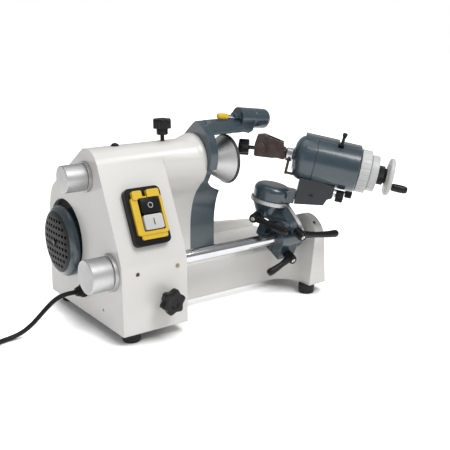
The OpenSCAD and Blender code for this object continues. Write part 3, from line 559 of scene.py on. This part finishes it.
pins = [placed(pin, at(0, side * plugLook["pinsApart"] / 2, 0)) for side in (-1, 1)]
plugPins = addPiece("plugPins", together(pins), plugSeat, "groundSteel", "machine")


# Castings and sheet parts: copies of the solids with rolled edges, each (finish, width in mm, segments).
castingLook = {"headstock_casting": ("whiteEnamel", 4.0, 4), "bed_casting": ("whiteEnamel", 3.0, 4),
               "wheel_guard": ("slateEnamel", 1.6, 3), "dresser_block": ("slateEnamel", 1.4, 3),
               "carriage": ("slateEnamel", 2.2, 3), "tilt_body": ("slateEnamel", 2.2, 3),
               "swivel_arm": ("slateEnamel", 1.6, 3), "head_bracket": ("blackEnamel", 2.4, 3),
               "head_barrel": ("slateEnamel", 1.0, 3), "drill_holder": ("burnishedSteel", 1.4, 3),
               "switch_box": ("blackMoulded", 2.2, 4), "switch_frame": ("yellowMoulded", 0.9, 3)}
for node, (finish, width, segments) in castingLook.items():
    softCopy(node, finish, width, segments)
fanShadeLook = {"edge": 0.5, "rimRadius": 61.0, "shadedFaceDepth": 4}   # a painted rim, and within it the cover's face coloured near-black as painted shade of its vents


# faces on the cover's face inside the rim: these take the near-black finish as painted shade of the vents
def onShadedFanFace(p):
    across = math.hypot(p[1] - motorLine[1][1], p[2] - motorLine[1][2])
    return across < fanShadeLook["rimRadius"] and p[0] < fanShadeLook["shadedFaceDepth"]


# the cover's face inside the rim is near-black: painted shade standing in for the dark vent openings
softCopy("fan_cover", "slateEnamel", fanShadeLook["edge"], second="softBlack", chooser=onShadedFanFace)
plainEdges = {"base_plate": 0.4, "machine_screws": 0.3, "brass_screw": 0.3, "motor_housing": 0.5,
              "motor_shaft": 0.4, "cooling_fan": 0.3, "motor_pulley": 0.5, "drive_belt": 0.4,
              "quill": 0.6, "spindle_bearings": 0.3, "spindle_shaft": 0.5, "spindle_pulley": 0.4,
              "wheel_body": 0.5, "abrasive_rim": 0.3, "wheel_screw": 0.5, "dial_bases": 0.5,
              "feed_sleeve": 0.4, "oil_plug": 0.5, "dresser_shaft": 0.4, "dresser_cap": 0.3,
              "scale_rings": 0.4, "bracket_screws": 0.4, "work_spindle": 0.4, "stop_rod": 0.5}
for node, width in plainEdges.items():
    softCopy(node, frame["nodes"][node].data.materials[0].name, width)
print("castings ready")


# Feed dials, guide bar and their scales.
dialLook = {"spindleRadius": 25, "barRadius": 31, "chamfer": 0.9, "marks": 50, "longEvery": 5,
            "lineWidth": 0.32, "lineLength": 2.6, "zeroWidth": 0.5, "zeroLength": 5, "zeroAngle": 2.2,
            "grubBack": 10}
c, r = dialLook["chamfer"], dialLook["spindleRadius"]
addPiece("spindleDial", turned([(-47.35, 0), (-47.35, r - c), (-47.35 + c, r), (-7.35, r), (-7.35, 6),
                                (48, 6), (48, 0)], soften=0.5),
         spindleLine, "turnedAlloySpindle", "spindle_dial", ["spindle_dial"])
r = dialLook["barRadius"]
addPiece("barDial", turned([(-49.35, 0), (-49.35, r - c), (-49.35 + c, r), (-8.35, r), (-8.35, 7),
                            (66, 7), (66, 0)], soften=0.5),
         barLine, "turnedAlloyBar", "bar_dial", ["bar_dial"])
for key, line, base, dial in (("spindle", spindleLine, (28, -7.0), (dialLook["spindleRadius"], -7.35)),
                              ("bar", barLine, (34.5, -8.0), (dialLook["barRadius"], -8.35))):
    addPiece(key + "BaseMarks", marks(base[0], base[1], base[1] + dialLook["lineLength"],
                                      dialLook["marks"], dialLook["longEvery"], dialLook["lineWidth"]),
             line, "softBlack", "machine")             # base and dial are (radius, face)
    addPiece(key + "DialMark", marks(dial[0], dial[1], dial[1] - dialLook["zeroLength"], 1, 1,
                                     dialLook["zeroWidth"], first=dialLook["zeroAngle"]),
             line, "softBlack", key + "_dial")
    addPiece(key + "DialGrub", placed(hexSocket(machine, 2.4, 1.0, 1.2, 0.9), at(0, 0, dial[0] - 0.9)),
             inside(line, (dial[1] - dialLook["grubBack"], 0, 0)), "blackMoulded", key + "_dial")
barLook = {"radius": 12.5, "end": 484, "centreHole": 3.2, "endChamfer": 1.5}
end, r, c = barLook["end"], barLook["radius"], barLook["endChamfer"]
addPiece("guideBar", turned([(79, 0), (79, r), (end - c, r), (end, r - c), (end, barLook["centreHole"]),
                             (end - 3.5, 0)], soften=0.4),
         barLine, "barChrome", "guide_bar", ["guide_bar"])
print("dials and bar ready")


# Clamp knobs and levers.
knobLook = {"frontRadius": 24.5, "topRadius": 19.0, "holderRadius": 16.3, "lobes": 6, "roll": 3.2}
frontSeat = at(87, -18, 76, turn("x", 90) @ turn("z", 12))
addPiece("frontStarKnob", together([
    starKnob(knobLook["frontRadius"], 14, knobLook["lobes"], knobLook["roll"]),
    placed(turned([(-17.65, 0), (-17.65, 9), (0.2, 9), (0.2, 0)]), standing),
    placed(turned([(-56, 0), (-56, 5), (-17.6, 5), (-17.6, 0)]), standing)]),
    frontSeat, "blackMoulded", "front_star_knob", ["front_star_knob"])
addPiece("topStarKnob", together([
    starKnob(knobLook["topRadius"], 18, knobLook["lobes"], knobLook["roll"]),
    placed(turned([(-12, 0), (-12, 10.2), (-10.5, 11), (0.2, 11), (0.2, 0)]), standing),
    placed(turned([(-49.65, 0), (-49.65, 4), (-11.8, 4), (-11.8, 0)]), standing)]),
    at(161, 122, 364), "blackMoulded", "top_star_knob", ["top_star_knob"])
addPiece("holderKnob", starKnob(knobLook["holderRadius"], 21, knobLook["lobes"], knobLook["roll"],
                                bore=4.15, depth=18),
         inside(holder, (-16, 0, 0), turn("y", -90)), "blackMoulded", "holder_knob", ["holder_knob"])

leverLook = {"hub": 9.6, "root": 7.6, "waist": 5.9, "end": 8.0, "rise": 0.14, "armHeight": 12.0,
             "screwHeight": 22.4}


def leverShape(length, stud):
    # hub round Z, and an arm that narrows to a waist and swells to a rounded end;
    # z gains h sin(pi/2 x / reach), so the arm leaves the hub rising and ends level
    hubRadius, rootRadius, endRadius = leverLook["hub"], leverLook["root"], leverLook["end"]
    reach = length - 8
    hub = turned([(0, 0), (0, 8.2), (1.2, hubRadius), (19, hubRadius), (23.5, 7.8), (25, 7.2),
                  (25, 5.4), (22.6, 5.0), (22.6, 0)], soften=1.2)
    points, faces = turned([(0, 0), (0, rootRadius + 0.8), (9, rootRadius),
                            (reach * 0.45, leverLook["waist"]), (reach * 0.8, endRadius - 0.9),
                            (reach, endRadius), (reach + 5.5, endRadius - 1.6), (reach + 6.6, 0)],
                           around=64, soften=4.0, steps=5)
    along = np.clip(points[:, 0] / reach, 0, 1)
    points[:, 2] += leverLook["rise"] * reach * np.sin(math.pi / 2 * along)
    arm = placed((points, faces), at(0, 0, leverLook["armHeight"]))
    rod = turned([(-stud, 0), (-stud, 3.4), (-stud + 0.6, 4), (0.4, 4), (0.4, 0)])
    return together([placed(hub, standing), arm]), placed(rod, standing)


swivelX, swivelZ = np.array([0.4554, -0.8574, -0.2404]), np.array([-0.883, -0.469, 0.0])
swivelX, swivelZ = swivelX / np.linalg.norm(swivelX), swivelZ / np.linalg.norm(swivelZ)
swivelSeat = (np.stack([swivelX, np.cross(swivelZ, swivelX), swivelZ], 1),
              np.array([344.0, 61.0, 177.0]) + 0.4 * swivelZ)
carriageSeat = inside(swing, (395, -26.4, -25), turn("x", 90) @ turn("z", 204))
tiltSeat = inside(swing, (388, -33.4, 43.4), turn("x", 90) @ turn("z", -4))
for name, where, length, stud, node in (("carriageLever", carriageSeat, 62, 40, "carriage_lever"),
                                        ("tiltLever", tiltSeat, 96, 14, "tilt_lever"),
                                        ("swivelLever", swivelSeat, 80, 26, "swivel_lever")):
    arm, rod = leverShape(length, stud)
    addPiece(name, arm, where, "blackMoulded", node, [node])
    addPiece(name + "Stud", rod, where, "groundSteel", node)
    addPiece(name + "Screw", hexSocket(at(0, 0, leverLook["screwHeight"]), 4.4, 1.9, 2.1, 1.4),
             where, "groundSteel", node)
print("knobs and levers ready")


# Switch buttons with their signs, gland, feet.
buttonLook = {"left": 55, "right": 93, "bottom": 7, "face": 20, "roll": 1.4, "ringOuter": 5.2,
              "ringInner": 3.9, "barLength": 12.0, "barWidth": 2.0, "signDepth": 0.25, "signAt": 19.72}
for name, low, high, finish in (("stop", 82, 109, "blackMoulded"), ("start", 52, 79, "ivoryMoulded")):
    cap = prism(roundBox(buttonLook["left"], buttonLook["right"], low, high, 4), buttonLook["bottom"],
                buttonLook["face"] - 0.13, buttonLook["roll"], 0.6)
    stem = prism(roundBox(buttonLook["left"] + 7, buttonLook["right"] - 7, low + 6, high - 6, 3), -6,
                 buttonLook["bottom"] + 0.4, 0.3)
    addPiece(name + "Button", together([cap, stem]), slopeFace, finish, name + "_button",
             [name + "_button"])
circle = unitCircle(64)
addPiece("stopSign", placed(frameRing(circle * buttonLook["ringOuter"], circle * buttonLook["ringInner"],
                                      0, buttonLook["signDepth"], 0.05),
                            at(74, 95.5, buttonLook["signAt"])),
         slopeFace, "ivoryMoulded", "stop_button")
half, wide = buttonLook["barLength"] / 2, buttonLook["barWidth"] / 2
addPiece("startSign", placed(prism(roundBox(-wide, wide, -half, half, 0.4, 3), 0,
                                   buttonLook["signDepth"], 0.05),
                             at(74, 65.5, buttonLook["signAt"])),
         slopeFace, "softBlack", "start_button")

glandLook = {"collar": 13.0, "ribs": 5, "ribbedLength": 11, "root": 11.0, "taper": 3.5, "tip": 7.0,
             "bore": 4.9}
sleeve = [(11.9, 7.9), (0, 7.9), (0, glandLook["collar"]), (-8.2, glandLook["collar"]),
          (-9, glandLook["collar"] - 0.8), (-9, glandLook["root"])]
for n in range(glandLook["ribs"]):            # strain relief: ribs on a taper towards the lead
    x = -9 - glandLook["ribbedLength"] * n / glandLook["ribs"]
    r = glandLook["root"] - glandLook["taper"] * n / glandLook["ribs"]
    sleeve += [(x - 1.3, r), (x - 1.35, r - 0.9), (x - 2.1, r - 1.1), (x - 2.15, r - 0.6)]
sleeve[-1] = (-20, glandLook["tip"])          # the last rib runs out at the tip
addPiece("cableGland", turned(sleeve, bore=glandLook["bore"], soften=0.3, steps=2), at(0, 152, 65),
         "blackMoulded", "machine", ["cable_gland"])

footLook = {"roll": 0.7, "belly": 16.8, "bore": 3.3,
            "places": ((28, 24), (28, 286), (455, 32), (462, 280))}
foot = ringSection([(0.05, 7), (0.05, 14.6), (1.6, 16.2), (6, footLook["belly"]), (17, 17),
                    (19.95, 16.6), (19.95, footLook["bore"]), (8, footLook["bore"]), (8, 7)],
                   footLook["roll"])
addPiece("rubberFeet", together([placed(foot, at(x, y, 0, upright)) for x, y in footLook["places"]]),
         machine, "softBlack", "machine", ["rubber_feet"])
print("switch, gland and feet ready")


# Dresser knob, and what turns on the work head.
dresserLook = {"radius": 20, "shaft": 4.15, "shaftEnd": 32.6}
addPiece("dresserKnob", turned([(dresserLook["shaftEnd"], 0), (dresserLook["shaftEnd"], dresserLook["shaft"]),
                                (16.35, dresserLook["shaft"]), (16.35, 18.8), (17.6, dresserLook["radius"]),
                                (46.5, dresserLook["radius"]), (50, 19.4), (53, 17.6), (56, 13.8),
                                (57.6, 8), (58, 0)], soften=0.9),
         dresser, "slateEnamel", "dresser_knob", ["dresser_knob"])
wheelLook = {"rim": 38, "discBore": 9.05, "hub": 19, "hubBore": 12.05, "hubFlutes": 40, "hubDepth": 0.9}
addPiece("handwheelDisc", turned([(214.05, wheelLook["hubBore"]), (212, wheelLook["hubBore"]), (212, 20),
                                  (215, 26), (214.2, 34), (216, 37.3), (219, wheelLook["rim"]),
                                  (222.6, 37.2), (224.3, 33.4), (222.2, 26), (224.6, 15), (225, 13)],
                                 bore=wheelLook["discBore"], soften=1.4, steps=4),
         headLine, "ivoryMoulded", "work_spindle", ["handwheel"])
addPiece("handwheelHub", turned([(193.1, 17.4), (194.4, wheelLook["hub"]), (207, wheelLook["hub"]),
                                 (208, 17.4), (208.2, 15), (212.1, 15)], bore=wheelLook["hubBore"],
                                around=320, soften=0.6, flutes=wheelLook["hubFlutes"],
                                depth=wheelLook["hubDepth"]),
         headLine, "blackMoulded", "work_spindle")
indexLook = {"bore": 24.05, "large": 43, "small": 36, "neck": 33, "notches": 24, "notchDepth": 0.9,
             "lines": 60, "lineWidth": 0.22}
bore, small, neck = indexLook["bore"], indexLook["small"], indexLook["neck"]
addPiece("indexRingLarge", notchedRing(156.35, 176, indexLook["large"], bore, indexLook["notches"],
                                       indexLook["notchDepth"]),
         headLine, "ivoryMoulded", "work_spindle", ["index_rings"])
addPiece("indexRingSmall", together([
    ringSection([(178.2, bore), (178.2, small), (193, small), (193, bore)], 0.9, 96),
    ringSection([(175.9, bore), (175.9, neck), (178.3, neck), (178.3, bore)], 0.2, 96)]),
    headLine, "ivoryMoulded", "work_spindle")
addPiece("indexScale", marks(small, 189.5, 191.5, indexLook["lines"], 5, indexLook["lineWidth"]),
         headLine, "softBlack", "work_spindle")
gripLook = {"neck": 6.6, "belly": 8, "end": 3.2, "pin": 3}
gripSeat = inside(headLine, (0, -24, -14))
addPiece("crankGrip", turned([(225.5, 0), (225.5, gripLook["neck"]), (228, 7.6), (240, gripLook["belly"]),
                              (251, 7.6), (256, 6), (257, gripLook["end"]), (256.6, 0)], soften=1.4),
         gripSeat, "blackMoulded", "crank_grip", ["crank_grip"])
addPiece("crankPin", turned([(216, 0), (216, gripLook["pin"]), (226, gripLook["pin"]), (226, 0)],
                            soften=0.3),
         gripSeat, "groundSteel", "crank_grip")
# each fine knob: body, y and z of its line, its two faces, radius, stem radius, teeth
fineKnobs = {"adjustKnob": ("adjust_knob", -22, 44, 124, 139, 12, 3.5, 30),
             "lockKnob": ("lock_knob", 14, 46, 144, 158, 9.5, 3, 24)}
for name, (node, y, z, low, high, radius, stem, teeth) in fineKnobs.items():
    seat = inside(head, (0, y, z))
    addPiece(name, turned([(low, 0), (low, radius - 1.2), (low + 1, radius), (high - 1.2, radius),
                           (high, radius - 1.4), (high, radius * 0.5), (high - 0.8, radius * 0.42),
                           (high - 0.8, 0)], around=240, soften=0.5, flutes=teeth, depth=1.0),
             seat, "blackMoulded", node, [node])
    addPiece(name + "Stem", turned([(100, 0), (100, stem), (low + 0.3, stem), (low + 0.3, 0)],
                                   soften=0.3),
             seat, "groundSteel", node)
pegLook = {"rod": 3, "neck": 3.2, "tip": 5.2}
indexSeat = inside(inside(headLine, (0, 0, 0), turn("x", 25)), (109.8, 0, 0), turn("y", 2) @ upright)
addPiece("indexLever", together([
    turned([(27, 0), (27, pegLook["rod"]), (67.5, pegLook["rod"]), (67.5, 0)], soften=0.4),
    turned([(67, 0), (67, pegLook["neck"]), (74.4, pegLook["tip"]), (76, 4.2), (76, 0)])]),
    indexSeat, "blackMoulded", "index_lever", ["index_lever"])
scaleLook = {"lines": 72, "longEvery": 6, "width": 0.35, "proud": 0.05}
lines = (scaleLook["lines"], scaleLook["longEvery"], scaleLook["width"], scaleLook["proud"])
addPiece("swivelScale", placed(marks(40.5, 3.4, 0.9, *lines), standing), head, "softBlack", "tilt_head")
addPiece("tiltScale", marks(31.5, -0.3, -2.8, *lines), tilt, "softBlack", "tilt_head")
print("work head ready")


# Studio: a floor that reads as white paper, a pale room and soft lights.
studioLook = {"floorTone": 0.95, "floorRough": 0.9, "shadeReach": 0.08, "shadeFrom": 0.45,
              "shadeTo": 0.88, "worldFill": 0.40}
floorMaterial = bpy.data.materials.new("paperFloor")
floorMaterial.use_nodes = True
tree = floorMaterial.node_tree
# the floor glows white wherever it is open, so that only the contact shadow shows,
# and only what the camera and the polished metal see of it glows
openness = addNode(tree, "AmbientOcclusion", {}, {"Distance": studioLook["shadeReach"]}, samples=12)
glow = addNode(tree, "MapRange", {"Value": openness.outputs["AO"]},
               {"From Min": studioLook["shadeFrom"], "From Max": studioLook["shadeTo"]},
               interpolation_type="SMOOTHSTEP")
rays = addNode(tree, "LightPath", {})
seen = addNode(tree, "Math", {0: rays.outputs["Is Camera Ray"], 1: rays.outputs["Is Glossy Ray"]},
               operation="MAXIMUM")
glowSeen = addNode(tree, "Math", {0: glow.outputs["Result"], 1: seen.outputs[0]}, operation="MULTIPLY")
shader = tree.nodes["Principled BSDF"]
for socket, value in {"Base Color": (studioLook["floorTone"],) * 3 + (1,),
                      "Roughness": studioLook["floorRough"], "Emission Color": (1, 1, 1, 1)}.items():
    shader.inputs[socket].default_value = value
tree.links.new(glowSeen.outputs[0], shader.inputs["Emission Strength"])
floorMesh = bpy.data.meshes.new("floor")
floorMesh.from_pydata([(-9, -9, 0), (9, -9, 0), (9, 12, 0), (-9, 12, 0)], [], [(0, 1, 2, 3)])
floorMesh.materials.append(floorMaterial)
floor = intoScene("floor", floorMesh)

world = bpy.data.worlds.new("paleRoom")
bpy.context.scene.world = world
world.use_nodes = True
tree = world.node_tree
rays = addNode(tree, "LightPath", {})
room = addNode(tree, "Mix", {"Factor": rays.outputs["Is Camera Ray"]},
               {6: (studioLook["worldFill"],) * 3 + (1,), 7: (1, 1, 1, 1)}, data_type="RGBA")
tree.links.new(room.outputs[2], tree.nodes["Background"].inputs["Color"])
tree.nodes["Background"].inputs["Strength"].default_value = 1.0

lampLook = {"keyLight": {"place": (0.4, -1.6, 2.4), "aim": (0, 0, 0.15), "size": 1.1, "power": 37.0},
            "topLight": {"place": (0.1, 0.2, 2.2), "aim": (0, 0, 0.1), "size": 1.4, "power": 7.0},
            "fillLight": {"place": (-2.0, -0.9, 0.8), "aim": (0, 0, 0.2), "size": 1.2, "power": 2.4}}
for name, lamp in lampLook.items():
    data = bpy.data.lights.new(name, "AREA")
    data.shape, data.size, data.energy = "SQUARE", lamp["size"], lamp["power"]
    back = np.array(lamp["place"]) - np.array(lamp["aim"])
    back /= np.linalg.norm(back)
    side = np.cross((0, 0, 1), back)
    side /= np.linalg.norm(side)
    pose = np.eye(4)
    pose[:3, :3] = np.stack([side, np.cross(back, side), back], 1)
    pose[:3, 3] = lamp["place"]
    light = intoScene(name, data)
    light.matrix_world = Matrix(pose.tolist())

bpy.context.scene.view_settings.view_transform = "Standard"
